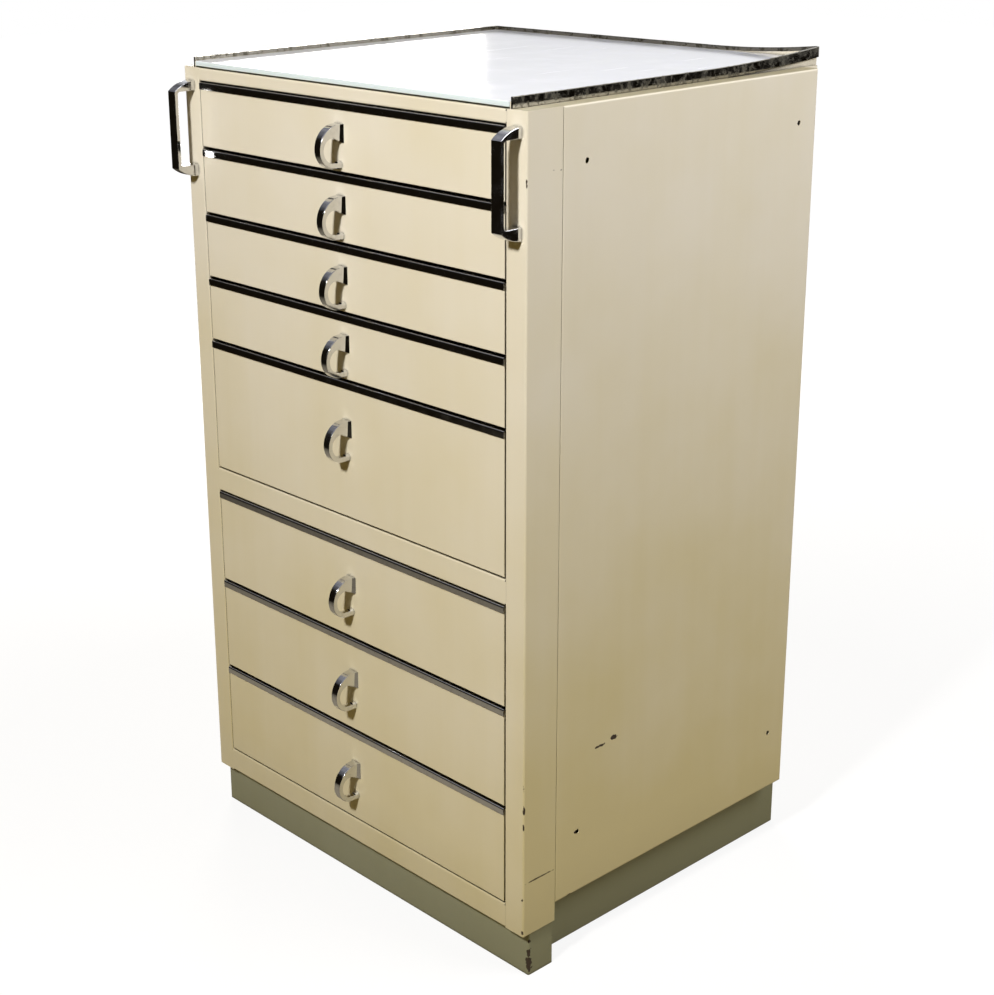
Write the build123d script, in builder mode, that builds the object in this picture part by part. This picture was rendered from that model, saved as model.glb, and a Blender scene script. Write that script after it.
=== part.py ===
from build123d import *
import os

# Floor-standing dental cabinet: a painted steel carcass on a plinth, eight drawers on folded
# runners, an opal glass worktop in a chrome gallery rail and two chrome towel handles.
# Millimetres.  X runs to the right, Y to the back and Z up from the floor.  The origin lies
# on the floor, under the middle of the whole cabinet.

os.makedirs("parts", exist_ok=True)

# ---------------------------------------------------------------- driving sizes

# carcass
cabinet_width = 526.4        # over the side panels
side_depth = 431.0           # front face of the frame to the back edge of a side panel
body_height = 850.0          # painted body, without the plinth
plinth_height = 52.0
panel_sheet = 1.2
liner_sheet = 1.0
fold_radius = 2.2            # outside radius of a fold in the frame and the panels

# front frame
stile_width = 27.1
stile_return = 47.0          # depth of the stile's side
jamb_return = 25.0           # depth of the stile's inner flange
frame_sheet = 1.5
top_rail_height = 14.2
mid_rail_height = 27.9
bottom_rail_height = 28.5
rail_flange = 25.0

# sides and back
side_bottom = 20.6           # the side panels end this far above the frame's lower edge
back_box_depth = 24.0        # the back panel is a shallow pan behind the side panels
back_box_inset = 18.2
link_hole = 5.5              # holes that join this cabinet to the next one
link_hole_y = 80.0           # front face to the first pair
link_hole_z = 92.5           # frame's lower edge to the lower pair
link_pitch_y = 322.0
link_pitch_z = 704.0
floor_pan_flange = 7.0
floor_pan_rise = 1.4

# worktop
deck_inset = 20.7            # side panel's face to the deck's upstand
deck_overhang = 2.8          # the upstand stands this far behind the back panel
deck_setback = 0.5
deck_plate_setback = 4.0     # leaves a shadow gap under the glass
deck_corner = 4.0
glass_thickness = 5.5
glass_gap = 0.4
glass_edge = 1.2
gallery_thickness = 2.2
gallery_height = 11.0
bow_rise = 8.0               # the tray edge curls up at its back right corner
bow_side_start = 265.0       # front face to where it begins along the right side
bow_back_start = 100.0       # middle of the cabinet to where it begins along the back

# plinth
plinth_sheet = 1.5
plinth_setback = 11.0
plinth_front_inset = 2.5
plinth_front_return = 35.0
plinth_flange = 25.0
plinth_back_inset = 5.0      # back panel's face to the back board's

# drawers
shallow_pitch = 72.5
shallow_count = 4
medium_pitch = 112.0
medium_count = 3
gap_above_front = 1.2
gap_below_front = 1.6
gap_beside_front = 1.2
front_depth = 15.0
front_edge = 1.0
drawer_depth = 400.0
drawer_sheet = 1.0
drawer_fold = 2.0
box_below_top = 16.0         # the box's lips lie this far below the top of its space
box_above_bottom = 4.0
trim_sheet = 1.2
trim_drop = 7.6
trim_radius = 2.0

# runners
runner_width = 11.0
runner_sheet = 1.2
runner_height = 10.5
runner_start = 20.0          # front face to the channel
running_gap = 0.1
lip_gap = 0.5
box_gap = 0.7

# cast pull: a crescent that stands on a flared upper foot and a round lower one
pull_reach = 29.2
pull_axis_drop = 4.2         # the arcs meet this far below the pull's reference height
pull_outer_top_radius = 24.8
pull_outer_low_radius = 19.5
pull_inner_top_radius = 11.5
pull_inner_low_radius = 14.0
pull_bow_thickness = 5.5
pull_top_width = 10.4
pull_low_width = 7.6
pull_foot_width = 14.6
pull_foot_depth = 5.0
pull_foot_bottom = 1.5
pull_knob_diameter = 7.8
pull_knob_depth = 4.5
pull_edge = 0.8
pull_drop_shallow = 43.1     # top of the drawer's space to the pull's reference height
pull_drop_medium = 59.0
pull_drop_deep = 63.0

# towel handles
handle_width = 12.7
handle_edge_distance = 12.2  # outer face of the cabinet to the handle's middle
handle_reach = 27.0
handle_bar = 4.5
handle_top = 835.6           # frame's lower edge to the top of the upper foot
handle_length = 104.2
handle_shoulder = 10.1       # how far the bar's ends stand inside the feet
handle_leg = 10.6
handle_low_leg = 12.8
handle_inner_radius = 3.0
handle_edge = 0.7
handle_screw = 4.0
handle_screw_engagement = 8.0
handle_screw_head = 7.0
handle_screw_head_height = 2.6
screw_gap = 0.05

# ---------------------------------------------------------------- places that follow

half_width = cabinet_width / 2
jamb_x = half_width - stile_width
panel_x = jamb_x + liner_sheet                     # open side of a side panel's pan
deck_half = half_width - deck_inset
deck_depth = side_depth + back_box_depth + deck_overhang
gallery_back = deck_depth + gallery_thickness
front_y = -(gallery_back - pull_reach) / 2         # front face of the frame
back_y = front_y + side_depth
back_face = back_y + back_box_depth

body_z = plinth_height                             # frame's lower edge
top_z = body_z + body_height
panel_z = body_z + side_bottom
panel_height = body_height - side_bottom

lower_floor = body_z + bottom_rail_height
lower_ceiling = lower_floor + medium_count * medium_pitch
upper_floor = lower_ceiling + mid_rail_height
upper_ceiling = top_z - top_rail_height
shallow_floor = upper_ceiling - shallow_count * shallow_pitch

# Every drawer's space: its top, its bottom and how far below the top its pull sits.
drawer_spaces = []
for step in range(shallow_count):
    ceiling = upper_ceiling - step * shallow_pitch
    drawer_spaces.append((ceiling, ceiling - shallow_pitch, pull_drop_shallow))
drawer_spaces.append((shallow_floor, upper_floor, pull_drop_deep))
for step in range(medium_count):
    ceiling = lower_ceiling - step * medium_pitch
    drawer_spaces.append((ceiling, ceiling - medium_pitch, pull_drop_medium))

front_half = jamb_x - gap_beside_front
box_half = jamb_x - runner_width - box_gap         # outer face of a drawer box's wall
lip_half = jamb_x - runner_sheet - lip_gap         # outer edge of its lips


def section_at(y):
    """Upright plane across the cabinet: X to the right, Z up, looking to the back."""
    return Plane(origin=(0, y, 0), x_dir=(1, 0, 0), z_dir=(0, -1, 0))


def write(piece, name):
    piece.part.label = name
    export_step(piece.part, f"parts/{name}.step")


def write_pair(piece, name):
    """The right-hand piece and its mirror image on the left."""
    with BuildPart() as left:
        mirror(piece.part, about=Plane.YZ)
    write(piece, f"{name}_right")
    write(left, f"{name}_left")


# ---------------------------------------------------------------- front frame

handle_x = half_width - handle_edge_distance
handle_top_z = body_z + handle_top
handle_bottom_z = handle_top_z - handle_length
screw_heights = (handle_top_z - handle_leg / 2, handle_bottom_z + handle_low_leg / 2)

# A stile is one sheet, folded round three sides and open at the back, with a plate let into its top.
with BuildPart() as stile:
    with BuildSketch(Plane.XY.offset(body_z)):
        with BuildLine():
            FilletPolyline(
                (half_width, front_y + stile_return),
                (half_width, front_y),
                (jamb_x, front_y),
                (jamb_x, front_y + jamb_return),
                radius=fold_radius,
            )
            offset(amount=frame_sheet, side=Side.RIGHT)
        make_face()
    extrude(amount=body_height)
    with BuildSketch(Plane.XY.offset(top_z)):
        with Locations((half_width - stile_width / 2, front_y + (frame_sheet + stile_return) / 2)):
            Rectangle(stile_width - 2 * frame_sheet, stile_return - frame_sheet)
    extrude(amount=-frame_sheet)
    for height in screw_heights:
        with Locations(section_at(front_y).location * Location((handle_x, height, 0))):
            Hole(radius=handle_screw / 2 + screw_gap, depth=frame_sheet)
write_pair(stile, "frame_stile")


def frame_rail(low, height, name):
    """A channel with its flanges turned to the back, its ends welded flush into the stiles' folds."""
    with BuildPart() as rail:
        with BuildSketch(Plane.YZ.offset(-jamb_x)):
            with BuildLine():
                FilletPolyline(
                    (front_y + rail_flange, low + height),
                    (front_y, low + height),
                    (front_y, low),
                    (front_y + rail_flange, low),
                    radius=fold_radius,
                )
                offset(amount=frame_sheet, side=Side.LEFT)
            make_face()
        extrude(amount=2 * jamb_x)
        with BuildSketch(Plane.XY.offset(low + fold_radius)):
            with Locations((jamb_x + fold_radius / 2, front_y + fold_radius / 2)):
                Rectangle(fold_radius, fold_radius)
            with Locations((jamb_x + fold_radius, front_y + fold_radius)):
                Circle(fold_radius + running_gap, mode=Mode.SUBTRACT)
            mirror(about=Plane.YZ)
        extrude(amount=height - 2 * fold_radius)
    write(rail, name)


frame_rail(upper_ceiling, top_rail_height, "frame_top_rail")
frame_rail(lower_ceiling, mid_rail_height, "frame_mid_rail")
frame_rail(body_z, bottom_rail_height, "frame_bottom_rail")

# ---------------------------------------------------------------- double-walled sides, back and floor

panel_front = front_y + stile_return
panel_run = side_depth - stile_return

# The outer wall of a side is a pan, open towards the drawers.
with BuildPart() as side_panel:
    with BuildSketch(Plane.YZ.offset(panel_x)):
        with Locations((panel_front + panel_run / 2, panel_z + panel_height / 2)):
            Rectangle(panel_run, panel_height)
    extrude(amount=half_width - panel_x)
    fillet(side_panel.faces().sort_by(Axis.X)[-1].edges(), radius=fold_radius)
    offset(amount=-panel_sheet, openings=side_panel.faces().sort_by(Axis.X)[0])
    link_middle = (
        half_width,
        front_y + link_hole_y + link_pitch_y / 2,
        body_z + link_hole_z + link_pitch_z / 2,
    )
    with Locations(Plane(origin=link_middle, x_dir=(0, 1, 0), z_dir=(1, 0, 0))):
        with GridLocations(link_pitch_y, link_pitch_z, 2, 2):
            Hole(radius=link_hole / 2, depth=2 * panel_sheet)
write_pair(side_panel, "side_panel")

# The inner wall closes the pan and carries the runners.
with BuildPart() as liner:
    with BuildSketch(Plane.YZ.offset(jamb_x)):
        with Locations((front_y + (jamb_return + side_depth) / 2, panel_z + panel_height / 2)):
            Rectangle(side_depth - jamb_return, panel_height)
    extrude(amount=liner_sheet)
write_pair(liner, "inner_liner")

back_half = half_width - back_box_inset
with BuildPart() as back_panel:
    with BuildSketch(section_at(back_face)):
        with Locations((0, panel_z + panel_height / 2)):
            Rectangle(2 * back_half, panel_height)
    extrude(amount=back_box_depth)
    fillet(back_panel.faces().sort_by(Axis.Y)[-1].edges(), radius=fold_radius)
    offset(amount=-panel_sheet, openings=back_panel.faces().sort_by(Axis.Y)[0])
write(back_panel, "back_panel")

floor_z = panel_z + floor_pan_rise
with BuildPart() as floor_pan:
    with BuildSketch(section_at(front_y + jamb_return)):
        with BuildLine():
            FilletPolyline(
                (-jamb_x, floor_z + floor_pan_flange),
                (-jamb_x, floor_z),
                (jamb_x, floor_z),
                (jamb_x, floor_z + floor_pan_flange),
                radius=fold_radius,
            )
            offset(amount=panel_sheet, side=Side.LEFT)
        make_face()
    extrude(amount=jamb_return - side_depth)
write(floor_pan, "floor_pan")

# ---------------------------------------------------------------- worktop


def tray_strip(outer_half, outer_back, front, thickness):
    """Plan of a strip that runs along the left, the back and the right of the tray."""
    corner = deck_corner + outer_half - deck_half
    FilletPolyline(
        (-outer_half, front),
        (-outer_half, outer_back),
        (outer_half, outer_back),
        (outer_half, front),
        radius=corner,
    )
    offset(amount=thickness, side=Side.RIGHT)


def bowed_cut(plane, start, bend, end, level, reach, run):
    """Cuts away what lies between a level that curls up by bow_rise and reach above or below it."""
    far = end + deck_corner + gallery_thickness + 1
    with BuildSketch(plane) as region:
        with BuildLine():
            Line((start, level), (bend, level))
            TangentArc((bend, level), (end, level + bow_rise), tangent=(1, 0))
            Line((end, level + bow_rise), (far, level + bow_rise))
            Polyline(
                (far, level + bow_rise),
                (far, level + reach),
                (start, level + reach),
                (start, level),
            )
        make_face()
    extrude(region.sketch, amount=run, mode=Mode.SUBTRACT)


def bow_edge(level, reach):
    """The curl on the right side and along the back, as one cut each, meeting at the corner."""
    corner_x = deck_half - deck_corner
    corner_y = front_y + deck_depth - deck_corner
    bowed_cut(
        Plane.YZ.offset(corner_x),
        front_y - 1,
        front_y + bow_side_start,
        corner_y,
        level,
        reach,
        deck_corner + gallery_thickness + 1,
    )
    bowed_cut(
        section_at(corner_y),
        -half_width,
        bow_back_start,
        corner_x,
        level,
        reach,
        -(deck_corner + gallery_thickness + 1),
    )


def flat_cut(level, height):
    """The left side of the tray stays flat, so what the curl needed there is taken off."""
    with BuildSketch(Plane.XY.offset(level)) as region:
        with Locations((-deck_half, front_y + side_depth / 2)):
            Rectangle(2 * deck_corner, 2 * side_depth)
    extrude(region.sketch, amount=height, mode=Mode.SUBTRACT)


deck_front = front_y + deck_setback
plate_front = front_y + deck_plate_setback
deck_back = front_y + deck_depth
glass_z = top_z + panel_sheet
upstand_top = glass_z + glass_thickness

with BuildPart() as top_deck:
    with BuildSketch(Plane.XY.offset(top_z)):
        with BuildLine():
            tray_strip(deck_half, deck_back, deck_front, panel_sheet)
        make_face()
    extrude(amount=upstand_top - top_z + bow_rise)
    bow_edge(upstand_top, 2 * bow_rise)
    flat_cut(upstand_top, 2 * bow_rise)
    with BuildSketch(Plane.XY.offset(top_z)):
        with BuildLine():
            outline = FilletPolyline(
                (-deck_half, plate_front),
                (-deck_half, deck_back),
                (deck_half, deck_back),
                (deck_half, plate_front),
                radius=deck_corner,
            )
            Line(outline @ 1, outline @ 0)
        make_face()
    extrude(amount=panel_sheet)
write(top_deck, "top_deck")

with BuildPart() as gallery_rail:
    with BuildSketch(Plane.XY.offset(top_z)):
        with BuildLine():
            tray_strip(deck_half + gallery_thickness, front_y + gallery_back, deck_front, gallery_thickness)
        make_face()
    extrude(amount=gallery_height + bow_rise)
    bow_edge(top_z, -bow_rise)
    bow_edge(top_z + gallery_height, 2 * bow_rise)
    flat_cut(top_z + gallery_height, 2 * bow_rise)
write(gallery_rail, "gallery_rail")

glass_half = deck_half - panel_sheet - glass_gap
glass_back = deck_back - panel_sheet - glass_gap
with BuildPart() as glass_top:
    with BuildSketch(Plane.XY.offset(glass_z)) as pane:
        with Locations((0, (front_y + glass_back) / 2)):
            Rectangle(2 * glass_half, glass_back - front_y)
        fillet(pane.vertices().group_by(Axis.Y)[-1], radius=deck_corner)
    extrude(amount=glass_thickness)
    fillet(glass_top.faces().sort_by(Axis.Y)[0].edges().filter_by(Axis.X), radius=glass_edge)
write(glass_top, "glass_top")

# ---------------------------------------------------------------- plinth

plinth_front_half = half_width - plinth_front_inset
plinth_y = front_y + plinth_setback
with BuildPart() as plinth_front:
    with BuildSketch(Plane.XY):
        with BuildLine():
            FilletPolyline(
                (-plinth_front_half, plinth_y + plinth_front_return),
                (-plinth_front_half, plinth_y),
                (plinth_front_half, plinth_y),
                (plinth_front_half, plinth_y + plinth_front_return),
                radius=fold_radius,
            )
            offset(amount=plinth_sheet, side=Side.LEFT)
        make_face()
    extrude(amount=plinth_height)
write(plinth_front, "plinth_front")

# The side boards stand just outside the stiles' inner flanges and reach up to the side panels.
board_x = jamb_x + frame_sheet + running_gap + plinth_sheet
board_start = plinth_y + plinth_sheet
board_end = back_face - plinth_back_inset
with BuildPart() as plinth_board:
    with BuildSketch(section_at(board_start)):
        with BuildLine():
            FilletPolyline(
                (board_x, panel_z),
                (board_x, 0),
                (board_x - plinth_flange, 0),
                radius=fold_radius,
            )
            offset(amount=plinth_sheet, side=Side.RIGHT)
        make_face()
    extrude(amount=board_start - board_end)
write_pair(plinth_board, "plinth_side")

with BuildPart() as plinth_back:
    with BuildSketch(section_at(board_end)):
        with Locations((0, (fold_radius + panel_z) / 2)):
            Rectangle(2 * (board_x - plinth_sheet), panel_z - fold_radius)
    extrude(amount=plinth_sheet)
write(plinth_back, "plinth_back")

# ---------------------------------------------------------------- towel handles

bar_top = handle_top_z - handle_shoulder
bar_bottom = handle_bottom_z + handle_shoulder
bar_back = front_y - handle_reach + handle_bar
leg_underside = handle_top_z - handle_leg
low_leg_top = handle_bottom_z + handle_low_leg

# A flat bar stands between two short legs whose outer faces curve out to it.
with BuildPart() as towel_handle:
    with BuildSketch(Plane.YZ.offset(handle_x - handle_width / 2)) as loop:
        with BuildLine():
            upper = TangentArc(
                (front_y, handle_top_z),
                (front_y - handle_reach, bar_top),
                tangent=(-1, 0),
            )
            lower = TangentArc(
                (front_y, handle_bottom_z),
                (front_y - handle_reach, bar_bottom),
                tangent=(-1, 0),
            )
            Line(upper @ 1, lower @ 1)
            Polyline(
                upper @ 0,
                (front_y, leg_underside),
                (bar_back, leg_underside),
                (bar_back, low_leg_top),
                (front_y, low_leg_top),
                lower @ 0,
            )
        make_face()
        inner_corners = loop.vertices().filter_by_position(Axis.X, bar_back - 1, bar_back + 1)
        fillet(inner_corners, radius=handle_inner_radius)
    extrude(amount=handle_width)
    rims = towel_handle.faces().filter_by(Axis.X).edges()
    fillet(rims.filter_by_position(Axis.Y, front_y - handle_reach - 1, front_y - 1), radius=handle_edge)
    for height in screw_heights:
        with BuildSketch(section_at(front_y)):
            with Locations((handle_x, height)):
                Circle(handle_screw / 2 + screw_gap)
        extrude(amount=handle_screw_engagement, mode=Mode.SUBTRACT)
write_pair(towel_handle, "towel_handle")

# Each handle is held by two screws from inside the stile.
screw_places = [(side * handle_x, height) for side in (-1, 1) for height in screw_heights]
with BuildPart() as handle_screws:
    with BuildSketch(section_at(front_y + frame_sheet)):
        with Locations(*screw_places):
            Circle(handle_screw / 2)
    extrude(amount=frame_sheet + handle_screw_engagement - screw_gap)
    with BuildSketch(section_at(front_y + frame_sheet + handle_screw_head_height)):
        with Locations(*screw_places):
            Circle(handle_screw_head / 2)
    extrude(amount=handle_screw_head_height)
write(handle_screws, "handle_screws")

# ---------------------------------------------------------------- fixed runners


def lip_height(ceiling):
    """Underside of a drawer's lips."""
    return ceiling - box_below_top - drawer_sheet


# One channel for each drawer on each side, open towards the drawer.
with BuildPart() as runner_channels:
    for ceiling, floor, drop in drawer_spaces:
        low = lip_height(ceiling) - running_gap - runner_sheet
        with BuildSketch(section_at(front_y + runner_start)):
            with BuildLine():
                FilletPolyline(
                    (jamb_x - runner_width, low),
                    (jamb_x, low),
                    (jamb_x, low + runner_height),
                    (jamb_x - runner_width, low + runner_height),
                    radius=drawer_fold,
                )
                offset(amount=runner_sheet, side=Side.LEFT)
            make_face()
        extrude(amount=runner_start - side_depth)
write_pair(runner_channels, "runner_channels")

# ---------------------------------------------------------------- drawers


def drawer_box(ceiling, floor, name):
    """A folded tray whose sides end in outward lips, with the inner skin of the front."""
    lip = lip_height(ceiling)
    low = floor + box_above_bottom
    start = front_y + front_depth
    with BuildPart() as box:
        with BuildSketch(section_at(start)):
            with BuildLine():
                FilletPolyline(
                    (-lip_half, lip + drawer_sheet),
                    (-box_half + drawer_sheet, lip + drawer_sheet),
                    (-box_half + drawer_sheet, low + drawer_sheet),
                    (box_half - drawer_sheet, low + drawer_sheet),
                    (box_half - drawer_sheet, lip + drawer_sheet),
                    (lip_half, lip + drawer_sheet),
                    radius=drawer_fold,
                )
                offset(amount=drawer_sheet, side=Side.RIGHT)
            make_face()
        extrude(amount=-drawer_depth)
        with BuildSketch(section_at(start + drawer_depth)) as back_wall:
            with Locations((0, (low + lip) / 2)):
                Rectangle(2 * box_half, lip - low)
            fillet(back_wall.vertices(), radius=drawer_fold)
        extrude(amount=drawer_sheet)
        with BuildSketch(section_at(start + drawer_sheet)):
            with Locations((0, (floor + gap_below_front + ceiling - gap_above_front - trim_sheet) / 2)):
                Rectangle(
                    2 * (front_half - front_edge),
                    ceiling - floor - gap_below_front - gap_above_front - trim_sheet,
                )
        extrude(amount=drawer_sheet)
    write(box, name)


def drawer_front(ceiling, floor, name):
    """The painted outer skin: a pan that the inner skin closes."""
    low = floor + gap_below_front
    high = ceiling - gap_above_front - trim_sheet
    with BuildPart() as front:
        with BuildSketch(section_at(front_y + front_depth)):
            with Locations((0, (low + high) / 2)):
                Rectangle(2 * front_half, high - low)
        extrude(amount=front_depth)
        fillet(front.faces().sort_by(Axis.Y)[0].edges(), radius=front_edge)
        offset(amount=-panel_sheet, openings=front.faces().sort_by(Axis.Y)[-1])
    write(front, name)


def drawer_trim(ceiling, name):
    """A chrome angle that caps the front's upper edge."""
    high = ceiling - gap_above_front
    with BuildPart() as trim:
        with BuildSketch(Plane.YZ.offset(-front_half)):
            with BuildLine():
                FilletPolyline(
                    (front_y + front_depth + drawer_sheet, high),
                    (front_y - trim_sheet, high),
                    (front_y - trim_sheet, high - trim_drop),
                    radius=trim_radius,
                )
                offset(amount=trim_sheet, side=Side.LEFT)
            make_face()
        extrude(amount=2 * front_half)
    write(trim, name)


def drawer_pull(height, name):
    """A cast crescent, thick at its flared upper foot and thin where it meets the lower one."""
    side_view = Plane(origin=(0, front_y, height), x_dir=(0, 1, 0), z_dir=(1, 0, 0))
    front_view = Plane(origin=(0, front_y, height), x_dir=(1, 0, 0), z_dir=(0, -1, 0))
    outer_top = pull_outer_top_radius - pull_axis_drop
    outer_low = -pull_outer_low_radius - pull_axis_drop
    inner_top = pull_inner_top_radius - pull_axis_drop
    inner_low = -pull_inner_low_radius - pull_axis_drop
    top_centre = pull_outer_top_radius - pull_reach
    low_centre = pull_outer_low_radius - pull_reach
    inside = pull_bow_thickness - pull_reach
    with BuildPart() as pull:
        with BuildSketch(side_view.offset(-pull_top_width / 2)):
            with BuildLine():
                Line((0, outer_top), (top_centre, outer_top))
                TangentArc((top_centre, outer_top), (-pull_reach, -pull_axis_drop), tangent=(-1, 0))
                TangentArc((-pull_reach, -pull_axis_drop), (low_centre, outer_low), tangent=(0, -1))
                Polyline((low_centre, outer_low), (0, outer_low), (0, inner_low))
                Line((0, inner_low), (inside + pull_inner_low_radius, inner_low))
                TangentArc(
                    (inside + pull_inner_low_radius, inner_low),
                    (inside, -pull_axis_drop),
                    tangent=(-1, 0),
                )
                TangentArc(
                    (inside, -pull_axis_drop),
                    (inside + pull_inner_top_radius, inner_top),
                    tangent=(0, 1),
                )
                Polyline((inside + pull_inner_top_radius, inner_top), (0, pull_foot_bottom), (0, outer_top))
            make_face()
        extrude(amount=pull_top_width)
        with BuildSketch(front_view):
            Polygon(
                (-pull_top_width / 2, outer_top),
                (pull_top_width / 2, outer_top),
                (pull_low_width / 2, outer_low),
                (-pull_low_width / 2, outer_low),
                align=None,
            )
        extrude(amount=pull_reach, mode=Mode.INTERSECT)
        rims = pull.faces().filter_by(lambda face: abs(face.normal_at().X) > 0.9).edges()
        fillet(rims.filter_by_position(Axis.Y, front_y - pull_reach - 1, front_y - 1), radius=pull_edge)
        foot_middle = (outer_top + pull_foot_bottom) / 2
        with BuildSketch(front_view):
            with Locations((0, foot_middle)):
                Rectangle(pull_foot_width, outer_top - pull_foot_bottom)
        with BuildSketch(front_view.offset(pull_foot_depth)):
            with Locations((0, foot_middle + pull_edge)):
                Rectangle(pull_low_width, outer_top - pull_foot_bottom - 4 * pull_edge)
        loft()
        with BuildSketch(front_view):
            with Locations((0, (outer_low + inner_low) / 2)):
                Circle(pull_knob_diameter / 2)
        extrude(amount=pull_knob_depth)
    write(pull, name)


for number, (ceiling, floor, drop) in enumerate(drawer_spaces, start=1):
    drawer_box(ceiling, floor, f"drawer_{number}_box")
    drawer_front(ceiling, floor, f"drawer_{number}_front")
    drawer_trim(ceiling, f"drawer_{number}_trim")
    drawer_pull(ceiling - drop, f"drawer_{number}_pull")
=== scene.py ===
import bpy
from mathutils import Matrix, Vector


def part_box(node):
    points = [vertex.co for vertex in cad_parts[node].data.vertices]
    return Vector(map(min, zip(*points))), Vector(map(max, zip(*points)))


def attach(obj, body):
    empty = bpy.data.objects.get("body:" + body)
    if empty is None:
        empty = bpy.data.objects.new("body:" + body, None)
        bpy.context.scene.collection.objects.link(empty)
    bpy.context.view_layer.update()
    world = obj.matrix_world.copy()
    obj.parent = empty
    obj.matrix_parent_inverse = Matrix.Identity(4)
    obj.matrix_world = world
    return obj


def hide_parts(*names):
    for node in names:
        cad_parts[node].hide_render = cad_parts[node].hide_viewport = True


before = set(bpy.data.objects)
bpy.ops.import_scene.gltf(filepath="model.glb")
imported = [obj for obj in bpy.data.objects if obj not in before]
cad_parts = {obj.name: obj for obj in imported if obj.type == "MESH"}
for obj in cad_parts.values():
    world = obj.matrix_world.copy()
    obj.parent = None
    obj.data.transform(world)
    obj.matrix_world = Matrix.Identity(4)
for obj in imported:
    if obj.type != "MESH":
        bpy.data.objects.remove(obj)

"""A floor-standing dental cabinet in a plain studio.

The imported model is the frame: its nodes keep their shape and get their finishes here.
The chrome rail gets its rounded edges, and the screws behind the drawer pulls are added.
Everything is in metres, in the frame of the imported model, with Z up from the floor.
"""

import logging
import math
from dataclasses import dataclass, field
from enum import Enum

import bpy
import numpy as np
from mathutils import Matrix, Vector

log = logging.getLogger("dental_cabinet")

Tree = bpy.types.NodeTree
Socket = bpy.types.NodeSocket
Range = tuple[float, float]

MM = 0.001
DRAWERS = range(1, 9)
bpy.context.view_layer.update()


def linear(code: str) -> tuple[float, float, float, float]:
    """Turns an sRGB hex value into linear light.

    Args:
        code: the colour as "#RRGGBB".

    Returns:
        Red, green, blue and an alpha of 1.
    """
    parts = [int(code[i:i + 2], 16) / 255 for i in (1, 3, 5)]
    light = [c / 12.92 if c <= 0.04045 else ((c + 0.055) / 1.055) ** 2.4 for c in parts]
    return (*light, 1.0)


def add(tree: Tree, kind: str, inputs: dict | None = None, **settings) -> bpy.types.Node:
    """Adds one node with its settings, values and links.

    Args:
        tree: the node tree that gets the node.
        kind: the node's type, without its leading "ShaderNode".
        inputs: a value, or the socket to link from, for each input by name or number.
        settings: the node's own properties.

    Returns:
        The new node.
    """
    node = tree.nodes.new("ShaderNode" + kind)
    for key, value in settings.items():
        setattr(node, key, value)
    for key, value in (inputs or {}).items():
        if isinstance(value, bpy.types.NodeSocket):
            tree.links.new(value, node.inputs[key])
        else:
            node.inputs[key].default_value = value
    return node


def start_material(name: str) -> tuple[bpy.types.Material, Tree, Socket]:
    """Makes an empty node material.

    Args:
        name: the finish's name.

    Returns:
        The material, its tree, and the Object coordinates that its patterns read.
    """
    material = bpy.data.materials.new(name)
    material.use_nodes = True
    material.node_tree.nodes.clear()
    place = add(material.node_tree, "TexCoord").outputs["Object"]
    return material, material.node_tree, place


# ---------------------------------------------------------------- marks


@dataclass(frozen=True)
class Mark:
    """One spot of damage in a paint: its middle and its reach along X, Y and Z, in millimetres."""

    middle: tuple[float, float, float]
    reach: tuple[float, float, float]


Spot = tuple[float, float, float, tuple[float, float, float]]

# Chips and scuffs of the right-hand side: inward from the outer face, back from the front face and
# up from the frame's lower edge, and the reach along X, Y and Z, all in millimetres.
FRAME_SPOTS: tuple[Spot, ...] = (
    (0.0, 0.0, 783.0, (1.6, 1.6, 6.0)),
    (0.0, 0.0, 172.0, (1.5, 1.6, 7.5)),
    (0.0, 0.6, 148.0, (1.5, 1.9, 8.0)),
    (0.0, 0.2, 128.0, (1.3, 1.4, 6.0)),
    (0.0, 0.0, 205.0, (0.9, 0.9, 4.0)),
    (0.0, 24.0, 61.8, (0.7, 23.0, 0.9)),
    (1.0, 0.0, 44.0, (2.0, 1.2, 2.2)),
    (1.2, 0.0, 5.0, (1.6, 1.2, 3.0)),
    (0.0, 35.4, 793.0, (0.8, 1.1, 0.9)),
    (0.0, 44.6, 792.0, (0.8, 1.3, 1.0)),
    (0.0, 112.0, 180.5, (0.8, 11.0, 1.6)),
    (0.0, 133.0, 182.5, (0.8, 6.5, 3.0)),
    (0.0, 69.5, 20.6, (1.5, 6.5, 2.4)),
    (0.0, 76.8, 93.0, (0.8, 2.4, 2.4)),
)
# The plinth's corner, where feet have knocked it bare, measured in the same way.
PLINTH_SPOTS: tuple[Spot, ...] = (
    (0.0, 1.0, 41.5, (2.4, 2.4, 4.0)),
    (0.0, 1.0, 27.0, (3.6, 3.6, 6.0)),
    (0.0, 1.0, 13.0, (4.4, 4.4, 10.0)),
)


def marks_on(node: str, spots: tuple[Spot, ...]) -> tuple[Mark, ...]:
    """Sets spots out from the lower end of a node's front right edge.

    Args:
        node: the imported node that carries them.
        spots: each spot's distance inward, back and up, and its reach.

    Returns:
        The marks, in the cabinet's own frame.
    """
    low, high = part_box(node)
    return tuple(
        Mark((high.x / MM - inward, low.y / MM + back, low.z / MM + up), reach)
        for inward, back, up, reach in spots
    )


# ---------------------------------------------------------------- finishes


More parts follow.
